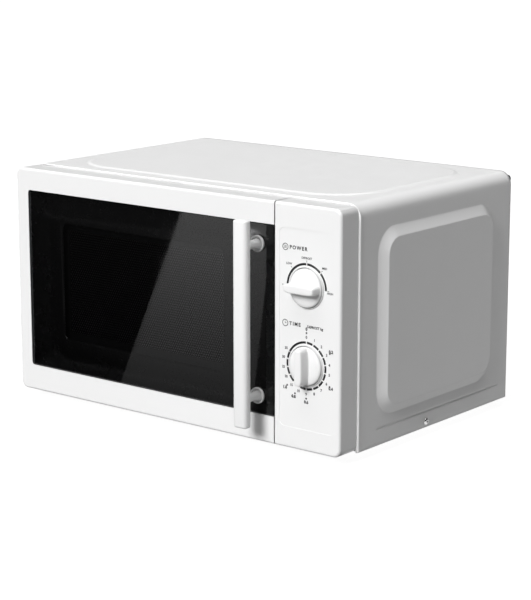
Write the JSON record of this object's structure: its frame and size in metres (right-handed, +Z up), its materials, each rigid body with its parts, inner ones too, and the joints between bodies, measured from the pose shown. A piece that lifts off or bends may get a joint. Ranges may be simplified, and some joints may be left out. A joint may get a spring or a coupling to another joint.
{
  "type": "microwave oven",
  "caption": "Countertop microwave oven: boxed steel housing, side-hinged black glass door with bar handle, two rotary dials, glass turntable on a roller ring.",
  "frame": {"origin": "on the floor under the centre of the bounding box, at the level of the feet", "axes": "+X to the right seen from the front (along the width), the front faces -Y, +Z up"},
  "size_m": [0.4556, 0.343, 0.2591],
  "materials": {
    "white_paint": "semi-gloss white powder coat",
    "white_plastic": "glossy white ABS",
    "knob_plastic": "glossy white ABS",
    "door_glass": "black printed float glass",
    "clear_glass": "clear",
    "cavity_enamel": "satin light grey enamel",
    "black_enamel": "satin black",
    "zinc_steel": "zinc plated sheet",
    "bright_steel": "bright",
    "grey_plastic": "matt",
    "black_plastic": "matt",
    "circuit_board": "green board",
    "rubber": "matt black"
  },
  "bodies": {
    "chassis": {"outer_cabinet": "white_paint", "control_panel": "white_plastic", "timer_unit": "white_plastic", "cavity_lamp": "white_plastic", "oven_cavity": "cavity_enamel", "base_plate": "zinc_steel", "rear_panel": "zinc_steel", "front_frame": "zinc_steel", "upper_hinge": "zinc_steel", "lower_hinge": "zinc_steel", "waveguide": "zinc_steel", "magnetron": "zinc_steel", "hv_transformer": "zinc_steel", "turntable_motor": "zinc_steel", "fan_motor": "zinc_steel", "bell": "bright_steel", "hv_capacitor": "bright_steel", "thermal_cutout": "bright_steel", "side_screw_left": "bright_steel", "side_screw_right": "bright_steel", "rear_screw_left": "bright_steel", "rear_screw_right": "bright_steel", "latch_board": "grey_plastic", "fan_shroud": "grey_plastic", "waveguide_cover": "grey_plastic", "primary_switch": "black_plastic", "monitor_switch": "black_plastic", "secondary_switch": "black_plastic", "rear_spacer_left": "black_plastic", "rear_spacer_right": "black_plastic", "cord_gland": "black_plastic", "noise_filter_board": "circuit_board", "foot_front_left": "rubber", "foot_front_right": "rubber", "foot_rear_left": "rubber", "foot_rear_right": "rubber"},
    "door": {"door_frame": "white_plastic", "door_glass": "door_glass", "door_screen": "black_enamel", "choke_cover": "white_plastic", "inner_window": "clear_glass", "handle_bar": "white_plastic", "handle_collar_upper": "white_plastic", "handle_collar_lower": "white_plastic", "handle_screw_upper": "bright_steel", "handle_screw_lower": "bright_steel", "latch_spring": "bright_steel"},
    "latch": {"latch_slide": "grey_plastic"},
    "power_dial": {"power_knob": "knob_plastic", "power_shaft": "bright_steel"},
    "timer_dial": {"timer_knob": "knob_plastic", "timer_shaft": "bright_steel"},
    "table_drive": {"drive_coupler": "white_plastic"},
    "glass_plate": {"glass_turntable": "clear_glass"},
    "roller_ring": {"roller_ring": "white_plastic"},
    "roller_1": {"roller_1": "white_plastic"},
    "roller_2": {"roller_2": "white_plastic"},
    "roller_3": {"roller_3": "white_plastic"},
    "fan": {"fan_blade": "grey_plastic"}
  },
  "joints": [
    {"name": "door_hinge", "type": "hinge", "parent": "chassis", "child": "door", "pos_m": [-0.2125, -0.121, 0.1332], "axis": [0, 0, -1], "range_deg": [0, 100]},
    {"name": "latch_lift", "type": "slide", "parent": "door", "child": "latch", "axis": [0, 0, 1], "range_m": [0, 0.0035], "stiffness_N_per_m": 300, "springref_m": -0.004, "deforming": ["latch_spring"]},
    {"name": "power_turn", "type": "hinge", "parent": "chassis", "child": "power_dial", "pos_m": [0.1785, -0.1405, 0.1751], "axis": [0, 1, 0], "range_deg": [0, 180]},
    {"name": "timer_turn", "type": "hinge", "parent": "chassis", "child": "timer_dial", "pos_m": [0.1785, -0.1405, 0.0972], "axis": [0, 1, 0], "range_deg": [0, 300]},
    {"name": "table_spin", "type": "hinge", "parent": "chassis", "child": "table_drive", "pos_m": [-0.039, 0.0195, 0.03], "axis": [0, 0, 1], "continuous": true},
    {"name": "plate_lift", "type": "slide", "parent": "table_drive", "child": "glass_plate", "axis": [0, 0, 1], "range_m": [0, 0.04]},
    {"name": "ring_spin", "type": "hinge", "parent": "chassis", "child": "roller_ring", "pos_m": [-0.039, 0.0195, 0.0373], "axis": [0, 0, 1], "continuous": true},
    {"name": "roller_1_spin", "type": "hinge", "parent": "roller_ring", "child": "roller_1", "pos_m": [-0.039, 0.1045, 0.0373], "axis": [0, 1, 0], "continuous": true},
    {"name": "roller_2_spin", "type": "hinge", "parent": "roller_ring", "child": "roller_2", "pos_m": [-0.11261, -0.023, 0.0373], "axis": [-0.866, -0.5, 0], "continuous": true},
    {"name": "roller_3_spin", "type": "hinge", "parent": "roller_ring", "child": "roller_3", "pos_m": [0.03461, -0.023, 0.0373], "axis": [0.866, -0.5, 0], "continuous": true},
    {"name": "fan_spin", "type": "hinge", "parent": "chassis", "child": "fan", "pos_m": [0.168, 0.1405, 0.175], "axis": [0, 1, 0], "continuous": true}
  ],
  "couplings": [
    {"joint": "ring_spin", "follows": "table_spin", "ratio": 0.5}
  ]
}
